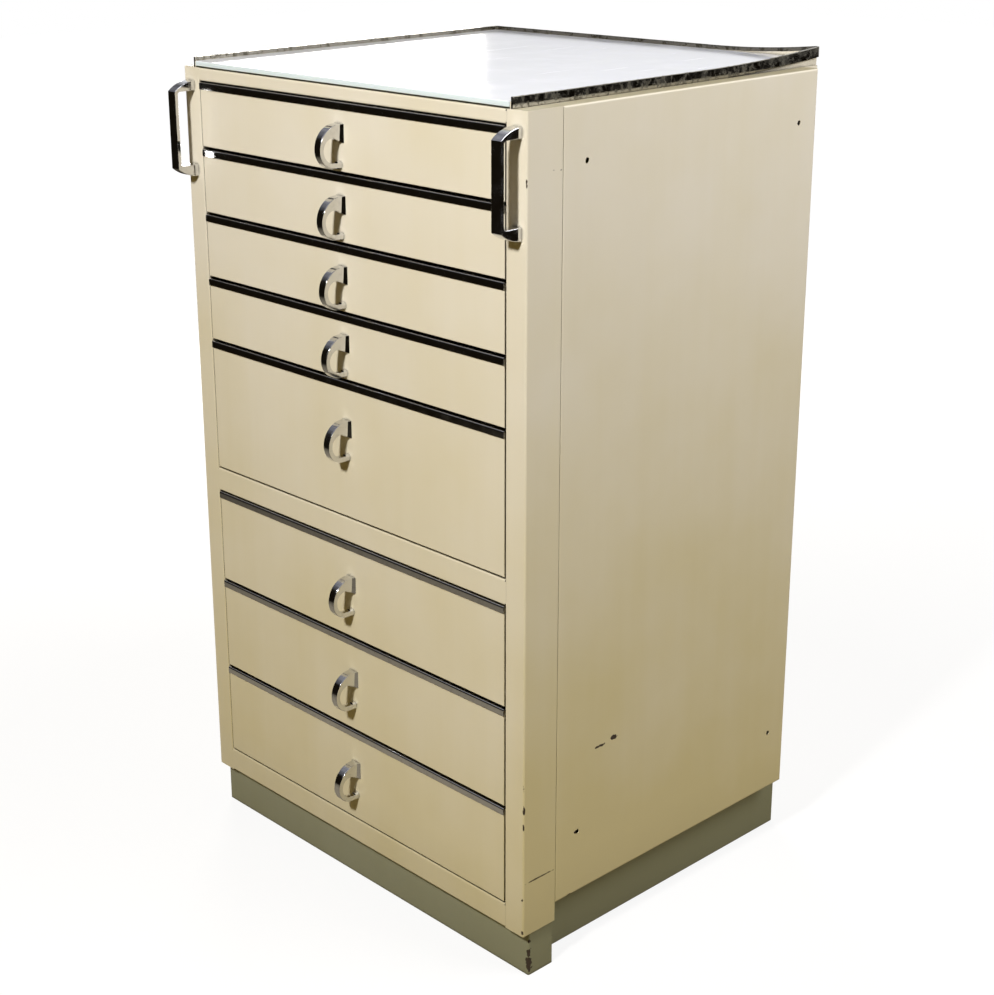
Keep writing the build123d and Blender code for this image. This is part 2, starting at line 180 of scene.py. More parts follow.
@dataclass(frozen=True)
class StoveEnamel:
    """Baked enamel on sheet steel, sprayed in two coats: satin, faintly dimpled, and yellowed by age.

    The eye sees a soft sheen that breaks up in the orange peel, runs of slightly deeper colour down the tall
    faces, grime towards the floor and dark bare steel where an edge has lost its paint. Its colour also
    carries painted light: a warm bounce that grows towards the floor and on the sides, and shade in the seams
    and gaps.
    """

    name: str
    colour: str
    # aged paint, and also the tint of the painted warm bounce light
    aged_and_bounce: str
    grime: str
    ledge_start: float                  # faces that look up gather dirt from this Y back
    steel: str = "#2B241C"
    rust: str = "#453423"
    # painted shade: the dark colour laid into seams and gaps
    gap_shade: str = "#2A2114"
    roughness: float = 0.38
    roughness_spread: Range = (-0.05, 0.07)
    bare_roughness: float = 0.75
    ior: float = 1.5
    ray_samples: int = 6
    peel_mm: float = 1.6                # drawn about twice as coarse as it is, to show from a step away
    peel_depth_mm: float = 0.06
    peel_strength: float = 0.25
    mottle_mm: float = 160.0
    mottle_range: Range = (0.42, 0.86)
    mottle_age: Range = (-0.10, 0.25)
    streak_mm: float = 26.0
    streak_stretch: float = 20.0        # times as tall as it is wide
    streak_share: float = 0.28
    streak_range: Range = (0.3, 0.7)
    # painted light: warm bounce from the floor, partly age yellowing, tints the paint more towards the floor
    # and on the sides
    bounce_top_mm: float = 800.0        # below this the tint grows more and more
    bounce_most: float = 0.62
    side_bounce_gain: float = 0.75           # the sides get this much more of the painted bounce light
    grime_top_mm: float = 120.0
    grime_most: float = 0.4
    ledge_dirt: float = 0.75
    ledge_slope: Range = (0.70, 0.95)   # upward part of the normal at which dirt starts and is full
    ledge_fade_mm: float = 6.0
    gap_mm: float = 6.0                 # how near another face must stand for painted shade in the gap
    gap_range: Range = (0.38, 0.72)
    gap_dark: float = 0.95
    rust_mm: float = 2.0
    chip_mm: float = 5.0
    chip_level: float = 1.05            # what edge and noise add up to where paint comes off
    bevel_mm: float = 1.3
    edge_turn: Range = (0.99, 0.88)     # cosine between the rounded and the true normal
    edge_share: float = 0.33
    fray: float = 2.6
    fray_rim: float = 2.1
    marks: tuple[Mark, ...] = ()

    def build(self) -> bpy.types.Material:
        """Builds the material: aged paint with painted warm bounce light, then dirt, painted shade in the
        seams and gaps, and bare steel over it.

        Returns:
            The material.
        """
        material, tree, place = start_material(self.name)
        mottle = add(tree, "TexNoise", {"Vector": place, "Scale": 1 / (self.mottle_mm * MM), "Detail": 3.0})
        tall = add(tree, "Mapping", {"Vector": place, "Scale": (1.0, 1.0, 1 / self.streak_stretch)})
        streak = add(
            tree, "TexNoise",
            {"Vector": tall.outputs[0], "Scale": 1 / (self.streak_mm * MM), "Detail": 4.0},
        )
        height = add(tree, "SeparateXYZ", {0: place}).outputs[2]
        # aged paint in patches, with painted warm bounce light towards the floor and on the sides
        paint = self.aged_with_bounce(tree, mottle.outputs[0], streak.outputs[0], height)
        dirty = self.dirtied(tree, paint, mottle.outputs[0], height, place)
        # painted shade in the seams and gaps, where another face stands close
        gap_shade = self.paint_gap_shade(tree, dirty)
        chip = self.chips(tree, place)
        colour = self.bared(tree, gap_shade, chip, place)
        gloss = add(
            tree, "MapRange",
            {"Value": streak.outputs[0], "From Min": self.streak_range[0], "From Max": self.streak_range[1],
             "To Min": self.roughness + self.roughness_spread[0],
             "To Max": self.roughness + self.roughness_spread[1]},
        )
        worn = add(tree, "Mix", {0: chip, 2: gloss.outputs[0], 3: self.bare_roughness}, data_type="FLOAT")
        peel = add(tree, "TexNoise", {"Vector": place, "Scale": 1 / (self.peel_mm * MM), "Detail": 1.5})
        film = add(tree, "Math", {0: peel.outputs[0], 1: chip}, operation="SUBTRACT")
        bump = add(
            tree, "Bump",
            {"Strength": self.peel_strength, "Distance": self.peel_depth_mm * MM, "Height": film.outputs[0]},
        )
        shader = add(
            tree, "BsdfPrincipled",
            {"Base Color": colour, "Roughness": worn.outputs[0], "Normal": bump.outputs[0], "IOR": self.ior},
        )
        add(tree, "OutputMaterial", {"Surface": shader.outputs[0]})
        return material

    def aged_with_bounce(self, tree: Tree, mottle: Socket, streak: Socket, height: Socket) -> Socket:
        """Mixes new and aged paint in runs and patches, and adds the aged tint as painted warm bounce light,
        more towards the floor and on the sides.

        Args:
            tree: the material's tree.
            mottle: the noise of the broad patches.
            streak: the noise of the runs.
            height: the place's Z.

        Returns:
            The paint's colour.
        """
        blend = add(
            tree, "Math", {0: streak, 1: self.streak_share, 2: mottle}, operation="MULTIPLY_ADD",
        )
        # painted light: warm bounce from the floor, partly age yellowing, grows towards the floor
        floor_bounce = add(
            tree, "MapRange",
            {"Value": height, "From Min": self.bounce_top_mm * MM, "From Max": 0.0,
             "To Min": 0.0, "To Max": self.bounce_most},
        )
        # painted light: the sides get more of the warm bounce tint than the front
        aside = add(tree, "SeparateXYZ", {0: add(tree, "NewGeometry").outputs["Normal"]}).outputs[0]
        side = add(tree, "Math", {0: aside}, operation="ABSOLUTE")
        side_bounce = add(
            tree, "Math", {0: side.outputs[0], 1: self.side_bounce_gain, 2: 1.0}, operation="MULTIPLY_ADD",
        )
        low = add(tree, "Math", {0: floor_bounce.outputs[0], 1: side_bounce.outputs[0]}, operation="MULTIPLY")
        patchy = add(
            tree, "MapRange",
            {"Value": blend.outputs[0], "From Min": self.mottle_range[0], "From Max": self.mottle_range[1],
             "To Min": self.mottle_age[0], "To Max": self.mottle_age[1]},
            clamp=False,
        )
        # random age in patches plus the painted bounce light
        age_and_bounce = add(tree, "Math", {0: patchy.outputs[0], 1: low.outputs[0]}, operation="ADD", use_clamp=True)
        paint = add(
            tree, "Mix",
            {0: age_and_bounce.outputs[0], 6: linear(self.colour), 7: linear(self.aged_and_bounce)},
            data_type="RGBA",
        )
        return paint.outputs[2]

    def dirtied(self, tree: Tree, paint: Socket, mottle: Socket, height: Socket, place: Socket) -> Socket:
        """Lays grime on the paint near the floor and on ledges.

        Args:
            tree: the material's tree.
            paint: the paint's colour.
            mottle: the noise of the broad patches.
            height: the place's Z.
            place: Object coordinates.

        Returns:
            The colour with its grime.
        """
        low = add(
            tree, "MapRange",
            {"Value": height, "From Min": 0.0, "From Max": self.grime_top_mm * MM,
             "To Min": self.grime_most, "To Max": 0.0},
        )
        splash = add(tree, "Math", {0: low.outputs[0], 1: mottle}, operation="MULTIPLY")
        dirt = add(tree, "Math", {0: splash.outputs[0], 1: self.ledges(tree, place)}, operation="MAXIMUM")
        dirty = add(
            tree, "Mix", {0: dirt.outputs[0], 6: paint, 7: linear(self.grime)}, data_type="RGBA",
        )
        return dirty.outputs[2]

    def ledges(self, tree: Tree, place: Socket) -> Socket:
        """Finds where dirt lies on a face that looks up, from ledge_start back.

        Args:
            tree: the material's tree.
            place: Object coordinates.

        Returns:
            The share of dirt.
        """
        up = add(tree, "SeparateXYZ", {0: add(tree, "NewGeometry").outputs["Normal"]}).outputs[2]
        level = add(
            tree, "MapRange",
            {"Value": up, "From Min": self.ledge_slope[0], "From Max": self.ledge_slope[1],
             "To Max": self.ledge_dirt},
        )
        back = add(tree, "SeparateXYZ", {0: place}).outputs[1]
        past = add(
            tree, "MapRange",
            {"Value": back, "From Min": self.ledge_start,
             "From Max": self.ledge_start + self.ledge_fade_mm * MM},
        )
        return add(tree, "Math", {0: level.outputs[0], 1: past.outputs[0]}, operation="MULTIPLY").outputs[0]

    def paint_gap_shade(self, tree: Tree, colour: Socket) -> Socket:
        """Paints shade into the seams, gaps and holes, where another face stands close by.

        Args:
            tree: the material's tree.
            colour: the colour outside the painted shade.

        Returns:
            The colour with its painted shade in the seams and gaps.
        """
        # painted shade: ambient occlusion darkens the colour in narrow gaps, holes and inside corners
        gap = add(tree, "AmbientOcclusion", {"Distance": self.gap_mm * MM}, samples=self.ray_samples)
        black = add(
            tree, "MapRange",
            {"Value": gap.outputs["AO"], "From Min": self.gap_range[0], "From Max": self.gap_range[1],
             "To Min": self.gap_dark, "To Max": 0.0},
        )
        gap_shade = add(
            tree, "Mix", {0: black.outputs[0], 6: colour, 7: linear(self.gap_shade)}, data_type="RGBA",
        )
        return gap_shade.outputs[2]

    def bared(self, tree: Tree, colour: Socket, chip: Socket, place: Socket) -> Socket:
        """Shows steel with spots of rust where the paint is gone.

        Args:
            tree: the material's tree.
            colour: the colour where the paint holds.
            chip: 1 where the paint is gone.
            place: Object coordinates.

        Returns:
            The finished colour.
        """
        spots = add(tree, "TexNoise", {"Vector": place, "Scale": 1 / (self.rust_mm * MM), "Detail": 2.0})
        metal = add(
            tree, "Mix",
            {0: spots.outputs[0], 6: linear(self.steel), 7: linear(self.rust)},
            data_type="RGBA",
        )
        bare = add(tree, "Mix", {0: chip, 6: colour, 7: metal.outputs[2]}, data_type="RGBA")
        return bare.outputs[2]

    def chips(self, tree: Tree, place: Socket) -> Socket:
        """Finds where the paint is gone: in places along the edges, and at the listed marks.

        An edge is where a rounded copy of the normal leaves the true one. There, a noise that
        passes chip_level takes the paint off. A mark is a spheroid whose rim the same noise frays.

        Args:
            tree: the material's tree.
            place: Object coordinates.

        Returns:
            1 where steel shows, and 0 where the paint holds.
        """
        ragged = add(tree, "TexNoise", {"Vector": place, "Scale": 1 / (self.chip_mm * MM), "Detail": 5.0})
        soft = add(tree, "Bevel", {"Radius": self.bevel_mm * MM}, samples=self.ray_samples)
        true = add(tree, "NewGeometry")
        along = add(
            tree, "VectorMath", {0: soft.outputs[0], 1: true.outputs["Normal"]}, operation="DOT_PRODUCT",
        )
        edge = add(
            tree, "MapRange",
            {"Value": along.outputs["Value"], "From Min": self.edge_turn[0], "From Max": self.edge_turn[1],
             "To Min": 0.0, "To Max": self.edge_share},
        )
        frayed = add(tree, "Math", {0: edge.outputs[0], 1: ragged.outputs[0]}, operation="ADD")
        found = add(tree, "Math", {0: frayed.outputs[0], 1: self.chip_level}, operation="GREATER_THAN")
        if not self.marks:
            return found.outputs[0]
        nearest = None
        for mark in self.marks:
            scale = tuple(1 / (reach * MM) for reach in mark.reach)
            shift = tuple(-m / r for m, r in zip(mark.middle, mark.reach))
            near = add(tree, "VectorMath", {0: place, 1: scale, 2: shift}, operation="MULTIPLY_ADD")
            far = add(tree, "VectorMath", {0: near.outputs[0]}, operation="LENGTH").outputs["Value"]
            if nearest is not None:
                far = add(tree, "Math", {0: far, 1: nearest}, operation="MINIMUM").outputs[0]
            nearest = far
        rim = add(
            tree, "Math", {0: ragged.outputs[0], 1: self.fray, 2: nearest}, operation="MULTIPLY_ADD",
        )
        spot = add(tree, "Math", {0: rim.outputs[0], 1: self.fray_rim}, operation="LESS_THAN")
        both = add(tree, "Math", {0: found.outputs[0], 1: spot.outputs[0]}, operation="MAXIMUM")
        return both.outputs[0]


@dataclass(frozen=True)
class ChromePlate:
    """Bright chromium over nickel, buffed by hand and then cleaned for years.

    The eye sees a mirror with hair-thin wipe marks along the piece, cloudy patches and
    pinholes where brown corrosion comes through the plate.
    """

    name: str
    colour: str = "#DCDDE0"
    corrosion: str = "#6B5B45"
    roughness: float = 0.07
    roughness_spread: Range = (-0.02, 0.12)
    stain_roughness: float = 0.3
    cloud_mm: float = 14.0
    cloud_range: Range = (0.35, 0.75)
    pit_mm: float = 1.4
    pit_rim: Range = (0.10, 0.16)
    pitted_range: Range = (0.52, 0.68)  # where the clouds are thick enough for pits
    pitting: float = 0.8
    blotch_mm: float = 7.0
    blotch_range: Range = (0.50, 0.60)
    tarnish: float = 0.10               # how much the blotches hide of the plate
    wipe: tuple[float, float, float] = (0.04, 1.0, 1.0)
    wipe_mm: float = 0.5
    wipe_depth_mm: float = 0.01
    wipe_strength: float = 0.12

    def build(self) -> bpy.types.Material:
        """Builds the material: a mirror with stains, haze and wipe marks.

        Returns:
            The material.
        """
        material, tree, place = start_material(self.name)
        cloud = add(tree, "TexNoise", {"Vector": place, "Scale": 1 / (self.cloud_mm * MM), "Detail": 4.0})
        stain = self.stains(tree, place, cloud.outputs[0])
        colour = add(
            tree, "Mix",
            {0: stain, 6: linear(self.colour), 7: linear(self.corrosion)},
            data_type="RGBA",
        )
        wiped = add(tree, "Mapping", {"Vector": place, "Scale": self.wipe})
        hair = add(
            tree, "TexNoise",
            {"Vector": wiped.outputs[0], "Scale": 1 / (self.wipe_mm * MM), "Detail": 2.0},
        )
        haze = add(
            tree, "MapRange",
            {"Value": cloud.outputs[0], "From Min": self.cloud_range[0], "From Max": self.cloud_range[1],
             "To Min": self.roughness + self.roughness_spread[0],
             "To Max": self.roughness + self.roughness_spread[1]},
        )
        rough = add(
            tree, "Math", {0: stain, 1: self.stain_roughness, 2: haze.outputs[0]}, operation="MULTIPLY_ADD",
        )
        bump = add(
            tree, "Bump",
            {"Strength": self.wipe_strength, "Distance": self.wipe_depth_mm * MM, "Height": hair.outputs[0]},
        )
        shader = add(
            tree, "BsdfPrincipled",
            {"Base Color": colour.outputs[2], "Roughness": rough.outputs[0], "Normal": bump.outputs[0],
             "Metallic": 1.0},
        )
        add(tree, "OutputMaterial", {"Surface": shader.outputs[0]})
        return material

    def stains(self, tree: Tree, place: Socket, cloud: Socket) -> Socket:
        """Finds where the plate is dull or pitted.

        Args:
            tree: the material's tree.
            place: Object coordinates.
            cloud: the noise of the cloudy patches.

        Returns:
            The share of corrosion.
        """
        blotch = add(
            tree, "TexNoise",
            {"Vector": place, "Scale": 1 / (self.blotch_mm * MM), "Detail": 6.0, "Roughness": 0.65},
        )
        dull = add(
            tree, "MapRange",
            {"Value": blotch.outputs[0], "From Min": self.blotch_range[0], "From Max": self.blotch_range[1],
             "To Min": 0.0, "To Max": self.tarnish},
        )
        pit = add(tree, "TexVoronoi", {"Vector": place, "Scale": 1 / (self.pit_mm * MM)})
        pinhole = add(
            tree, "MapRange",
            {"Value": pit.outputs["Distance"], "From Min": self.pit_rim[0], "From Max": self.pit_rim[1],
             "To Min": 1.0, "To Max": 0.0},
        )
        patch = add(
            tree, "MapRange",
            {"Value": cloud, "From Min": self.pitted_range[0], "From Max": self.pitted_range[1],
             "To Min": 0.0, "To Max": self.pitting},
        )
        pitted = add(tree, "Math", {0: pinhole.outputs[0], 1: patch.outputs[0]}, operation="MULTIPLY")
        stain = add(tree, "Math", {0: pitted.outputs[0], 1: dull.outputs[0]}, operation="MAXIMUM")
        return stain.outputs[0]


@dataclass(frozen=True)
class OpalGlass:
    """Milk-white rolled glass with ground edges.

    The eye sees a cool white that light sinks into a little, a polished face with wipe marks,
    and the blue-green of the body where the edge is ground.
    """

    name: str
    colour: str = "#E9ECF4"
    edge: str = "#DEEBEF"
    edge_slope: Range = (0.35, 0.85)    # upward part of the normal at the edge and on the face
    roughness: float = 0.12
    roughness_spread: Range = (-0.04, 0.08)
    ior: float = 1.52
    smear_mm: float = 70.0
    smear_range: Range = (0.3, 0.7)
    scratch_mm: float = 3.0
    scratch_range: Range = (0.66, 0.72)
    scratch_roughness: float = 0.18
    scratch_turn: float = 0.7
    scratch_stretch: float = 50.0       # times as long as it is wide
    milk: float = 0.15                  # share of the light that goes into the body
    milk_reach: tuple[float, float, float] = (4 * MM, 4 * MM, 5 * MM)

    def build(self) -> bpy.types.Material:
        """Builds the material: a milky body under a polished face.

        Returns:
            The material.
        """
        material, tree, place = start_material(self.name)
        up = add(tree, "SeparateXYZ", {0: add(tree, "NewGeometry").outputs["Normal"]}).outputs[2]
        side = add(
            tree, "MapRange",
            {"Value": up, "From Min": self.edge_slope[0], "From Max": self.edge_slope[1],
             "To Min": 1.0, "To Max": 0.0},
        )
        colour = add(
            tree, "Mix",
            {0: side.outputs[0], 6: linear(self.colour), 7: linear(self.edge)},
            data_type="RGBA",
        )
        smear = add(tree, "TexNoise", {"Vector": place, "Scale": 1 / (self.smear_mm * MM), "Detail": 5.0})
        drawn = add(
            tree, "Mapping",
            {"Vector": place, "Rotation": (0.0, 0.0, self.scratch_turn),
             "Scale": (1.0, 1 / self.scratch_stretch, 1.0)},
        )
        scratch = add(
            tree, "TexNoise",
            {"Vector": drawn.outputs[0], "Scale": 1 / (self.scratch_mm * MM), "Detail": 6.0},
        )
        line = add(
            tree, "MapRange",
            {"Value": scratch.outputs[0],
             "From Min": self.scratch_range[0], "From Max": self.scratch_range[1],
             "To Min": 0.0, "To Max": self.scratch_roughness},
        )
        haze = add(
            tree, "MapRange",
            {"Value": smear.outputs[0], "From Min": self.smear_range[0], "From Max": self.smear_range[1],
             "To Min": self.roughness + self.roughness_spread[0],
             "To Max": self.roughness + self.roughness_spread[1]},
        )
        rough = add(tree, "Math", {0: haze.outputs[0], 1: line.outputs[0]}, operation="ADD")
        shader = add(
            tree, "BsdfPrincipled",
            {"Base Color": colour.outputs[2], "Roughness": rough.outputs[0], "IOR": self.ior,
             "Subsurface Weight": self.milk, "Subsurface Radius": self.milk_reach,
             "Subsurface Scale": 1.0},
        )
        add(tree, "OutputMaterial", {"Surface": shader.outputs[0]})
        return material


@dataclass(frozen=True)
class ZincPlate:
    """Zinc-plated mild steel, passivated: a dull blue-grey metal with cloudy crystals.

    The eye sees a soft grey gleam that is duller in the recess and yellowish in patches.
    """

    name: str
    colour: str = "#9FA2A3"
    patch: str = "#A79B7C"
    roughness: float = 0.34
    roughness_spread: Range = (-0.06, 0.10)
    patch_mm: float = 6.0
    patch_depth_mm: float = 0.02
    patch_strength: float = 0.15
    crystal_mm: float = 1.2
    crystal_reach: float = 0.8

    def build(self) -> bpy.types.Material:
        """Builds the material: dull metal with crystals and yellowish patches.

        Returns:
            The material.
        """
        material, tree, place = start_material(self.name)
        crystal = add(tree, "TexVoronoi", {"Vector": place, "Scale": 1 / (self.crystal_mm * MM)})
        cloud = add(tree, "TexNoise", {"Vector": place, "Scale": 1 / (self.patch_mm * MM), "Detail": 3.0})
        colour = add(
            tree, "Mix",
            {0: cloud.outputs[0], 6: linear(self.colour), 7: linear(self.patch)},
            data_type="RGBA",
        )
        rough = add(
            tree, "MapRange",
            {"Value": crystal.outputs["Distance"], "From Min": 0.0, "From Max": self.crystal_reach,
             "To Min": self.roughness + self.roughness_spread[0],
             "To Max": self.roughness + self.roughness_spread[1]},
        )
        bump = add(
            tree, "Bump",
            {"Strength": self.patch_strength, "Distance": self.patch_depth_mm * MM,
             "Height": cloud.outputs[0]},
        )
        shader = add(
            tree, "BsdfPrincipled",
            {"Base Color": colour.outputs[2], "Roughness": rough.outputs[0], "Normal": bump.outputs[0],
             "Metallic": 1.0},
        )
        add(tree, "OutputMaterial", {"Surface": shader.outputs[0]})
        return material


class Slot(Enum):
    """The record's material slots."""

    CREAM = "cream_enamel"
    INNER = "inner_enamel"
    PLINTH = "plinth_enamel"
    CHROME = "chrome"
    GLASS = "opal_glass"
    SCREW = "screw_steel"


@dataclass
class Finishes:
    """Every finish of the cabinet, built once."""

    built: dict[Slot, bpy.types.Material] = field(default_factory=dict)
    rail: bpy.types.Material | None = None
    ledge_lead: float = 6.6 * MM        # dirt on ledges starts this far before the frame's face

    def build(self) -> "Finishes":
        """Builds all finishes.

        Returns:
            This object.
        """
        ledge_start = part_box("frame_stile_right")[0].y - self.ledge_lead
        self.built = {
            Slot.CREAM: StoveEnamel(
                "cream stove enamel", "#E4DDCC", "#D2C597", "#8C8156", ledge_start,
                marks=marks_on("frame_stile_right", FRAME_SPOTS),
            ).build(),
            Slot.INNER: StoveEnamel(
                "ivory inner enamel", "#DDD4BC", "#D3C8AA", "#B9AD8C", ledge_start,
                roughness=0.42, chip_level=1.13,
            ).build(),
            Slot.PLINTH: StoveEnamel(
                "grey-green plinth enamel", "#969683", "#8A8A6E", "#74704F", ledge_start,
                roughness=0.36, chip_level=0.95, grime_top_mm=40.0,
                marks=marks_on("plinth_front", PLINTH_SPOTS),
            ).build(),
            Slot.CHROME: ChromePlate("chrome plate").build(),
            Slot.GLASS: OpalGlass("opal glass").build(),
            Slot.SCREW: ZincPlate("zinc plate").build(),
        }
        self.rail = ChromePlate(
            "tarnished chrome plate", "#A29D90", "#3F3A2B", tarnish=0.75, blotch_mm=6.0,
        ).build()
        return self

    def dress(self, node: str) -> None:
        """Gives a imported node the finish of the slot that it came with.

        Args:
            node: the node's name.
        """
        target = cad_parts[node]
        for holder in target.material_slots:
            holder.material = self.built[Slot(holder.material.name.split(".")[0])]
        log.info("%s: %s", node, target.material_slots[0].material.name)


# ---------------------------------------------------------------- surfaces


def grid_faces(rows: int, columns: int, closed: bool) -> np.ndarray:
    """Lists the quads of a grid of points.

    Point (i, j) has index i * columns + j. A quad takes (i, j), (i, j+1), (i+1, j+1), (i+1, j).

    Args:
        rows: number of points along the first parameter.
        columns: number of points along the second parameter.
        closed: whether the last column joins the first.

    Returns:
        An array of four indices a face.
    """
    steps = columns if closed else columns - 1
    i, j = np.meshgrid(np.arange(rows - 1), np.arange(steps), indexing="ij")
    k = (j + 1) % columns
    here, there = i * columns, (i + 1) * columns
    return np.stack([here + j, here + k, there + k, there + j], -1).reshape(-1, 4)


def rounded_section(width: float, height: float, radius: float, steps: int) -> np.ndarray:
    """Outlines a rectangle with rounded corners, counter-clockwise from its lower right corner.

    Each corner's points are its centre plus radius times the cosine and sine of a quarter turn.

    Args:
        width: size across.
        height: size upwards, from 0.
        radius: of the corners.
        steps: spans in each quarter turn.

    Returns:
        An array of (across, up).
    """
    quarter = np.linspace(0, math.pi / 2, steps + 1)
    turns = np.concatenate([quarter + k * math.pi / 2 for k in (3, 0, 1, 2)])
    side = np.repeat([(1, 0), (1, 1), (0, 1), (0, 0)], steps + 1, axis=0)
    centre = np.where(side == 1, (width / 2 - radius, height - radius), (radius - width / 2, radius))
    return centre + radius * np.stack([np.cos(turns), np.sin(turns)], -1)


def make_piece(
    name: str, points: np.ndarray, faces: list[list[int]], body: str, finish: bpy.types.Material,
) -> bpy.types.Object:
    """Makes a smooth mesh object that rides on a body.

    Args:
        name: the piece's name.
        points: an array of places, in metres.
        faces: the corner indices of each face.
        body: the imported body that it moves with.
        finish: its material.

    Returns:
        The object.
    """
    mesh = bpy.data.meshes.new(name)
    mesh.from_pydata(points.reshape(-1, 3).tolist(), [], faces)
    mesh.polygons.foreach_set("use_smooth", np.full(len(mesh.polygons), True))
    mesh.materials.append(finish)
    mesh.update()
    made = bpy.data.objects.new(name, mesh)
    bpy.context.scene.collection.objects.link(made)
    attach(made, body)
    log.info("%s: %d faces on %s", name, len(mesh.polygons), body)
    return made


# ---------------------------------------------------------------- sub-assemblies


@dataclass
class Carcass:
    """Front frame, double-walled sides, back, floor pan and plinth."""

    finishes: Finishes
    starts: tuple[str, ...] = (
        "frame_", "side_panel", "inner_liner", "back_panel", "floor_pan", "plinth_", "runner_",
    )

    def build(self) -> None:
        """Dresses every node of the carcass."""
        for node in sorted(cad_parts):
            if node.startswith(self.starts):
                self.finishes.dress(node)


@dataclass
class Worktop:
    """Deck tray, opal glass and the chrome rail round three sides."""

    finishes: Finishes
    rail_thickness: float = 2.2 * MM
    rail_height: float = 11.0 * MM
    rail_edge: float = 0.55 * MM
    edge_steps: int = 4
    corner: float = 5.1 * MM            # radius of the rail's middle line in plan
    side_bow_start: float = 265.0 * MM  # back from the rail's front end
    back_bow_start: float = 100.0 * MM  # to the right of the middle
    corner_steps: int = 12
    straight_steps: int = 48

    def build(self) -> None:
        """Dresses the deck and the glass, and makes the rail with rounded edges."""
        self.finishes.dress("top_deck")
        self.finishes.dress("glass_top")
        rail = self.rail()
        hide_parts("gallery_rail")

    def rail(self) -> bpy.types.Object:
        """Carries the rail's rounded section along its path, upright at every point.

        Returns:
            The rail, with flat ends.
        """
        low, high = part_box("gallery_rail")
        reach = high.x - self.rail_thickness / 2
        back = high.y - self.rail_thickness / 2
        path = self.path(reach, low.y, back)
        along = np.gradient(path, axis=0)
        along /= np.linalg.norm(along, axis=1)[:, None]
        outward = np.stack([-along[:, 1], along[:, 0]], -1)
        lift = self.lift(path, reach, low.y, back, high.z - low.z - self.rail_height)
        section = rounded_section(self.rail_thickness, self.rail_height, self.rail_edge, self.edge_steps)
        plan = path[:, None, :] + outward[:, None, :] * section[None, :, :1]
        upright = low.z + lift[:, None] + section[None, :, 1]
        points = np.concatenate([plan, upright[..., None]], -1)
        rows, columns = points.shape[:2]
        faces = grid_faces(rows, columns, closed=True).tolist()
        faces.append(list(range(columns)))
        faces.append([(rows - 1) * columns + k for k in reversed(range(columns))])
        faces = [face[::-1] for face in faces]
        rail = make_piece("gallery_rail_bright", points, faces, "carcass", self.finishes.rail)
        for cap in rail.data.polygons[-2:]:
            cap.use_smooth = False
        weigh = rail.modifiers.new("even shading", "WEIGHTED_NORMAL")
        weigh.keep_sharp = True
        return rail

    def path(self, reach: float, front: float, back: float) -> np.ndarray:
        """Runs up the left side, along the back and down the right side.

        Each straight is its start plus a share of the way to its end, and each corner is a quarter
        turn about its centre.

        Args:
            reach: X of the right side's middle line.
            front: Y of the rail's front ends.
            back: Y of the back's middle line.

        Returns:
            An array of (x, y).
        """
        share = np.linspace(0, 1, self.straight_steps + 1)[:, None]
        quarter = np.linspace(0, math.pi / 2, self.corner_steps + 1)
        turn_left = np.stack([-np.cos(quarter), np.sin(quarter)], -1) * self.corner
        turn_right = np.stack([np.sin(quarter), np.cos(quarter)], -1) * self.corner
        left_end = np.array([-reach, back - self.corner])
        right_start = np.array([reach, back - self.corner])
        return np.concatenate([
            np.array([-reach, front]) + share * (left_end - [-reach, front]),
            (left_end + [self.corner, 0] + turn_left)[1:],
            (np.array([self.corner - reach, back]) + share * [2 * (reach - self.corner), 0])[1:],
            (right_start - [self.corner, 0] + turn_right)[1:],
            (right_start + share * [0, front - right_start[1]])[1:],
        ])

    def lift(self, path: np.ndarray, reach: float, front: float, back: float, rise: float) -> np.ndarray:
        """Lifts the rail towards the back right corner, from both sides.

        Args:
            path: the middle line's (x, y).
            reach: X of the right side's middle line.
            front: Y of the rail's front ends.
            back: Y of the back's middle line.
            rise: the lift at the corner.

        Returns:
            The lift at each point of the path.
        """
        on_right = path[:, 0] > reach - self.corner
        on_back = path[:, 1] > back - self.corner
        right = self.bow(path[:, 1], front + self.side_bow_start, back - self.corner, rise)
        rear = self.bow(path[:, 0], self.back_bow_start, reach - self.corner, rise)
        return np.where(on_right, right, rear * on_back)

    @staticmethod
    def bow(at: np.ndarray, start: float, end: float, rise: float) -> np.ndarray:
        """Climbs on a circle that leaves the level tangentially: R - sqrt(R^2 - s^2), s past start.

        Args:
            at: places along a side.
            start: where the climb starts.
            end: where it is rise high.
            rise: the height at the end.

        Returns:
            The height at each place.
        """
        run = np.clip(at - start, 0, end - start)
        radius = ((end - start) ** 2 + rise ** 2) / (2 * rise)
        return radius - np.sqrt(radius ** 2 - run ** 2)


@dataclass
class TowelHandles:
    """The two towel handles and the screws that hold them."""

    finishes: Finishes

    def build(self) -> None:
        """Dresses both handles and their screws."""
        for node in ("towel_handle_left", "towel_handle_right", "handle_screws"):
            self.finishes.dress(node)


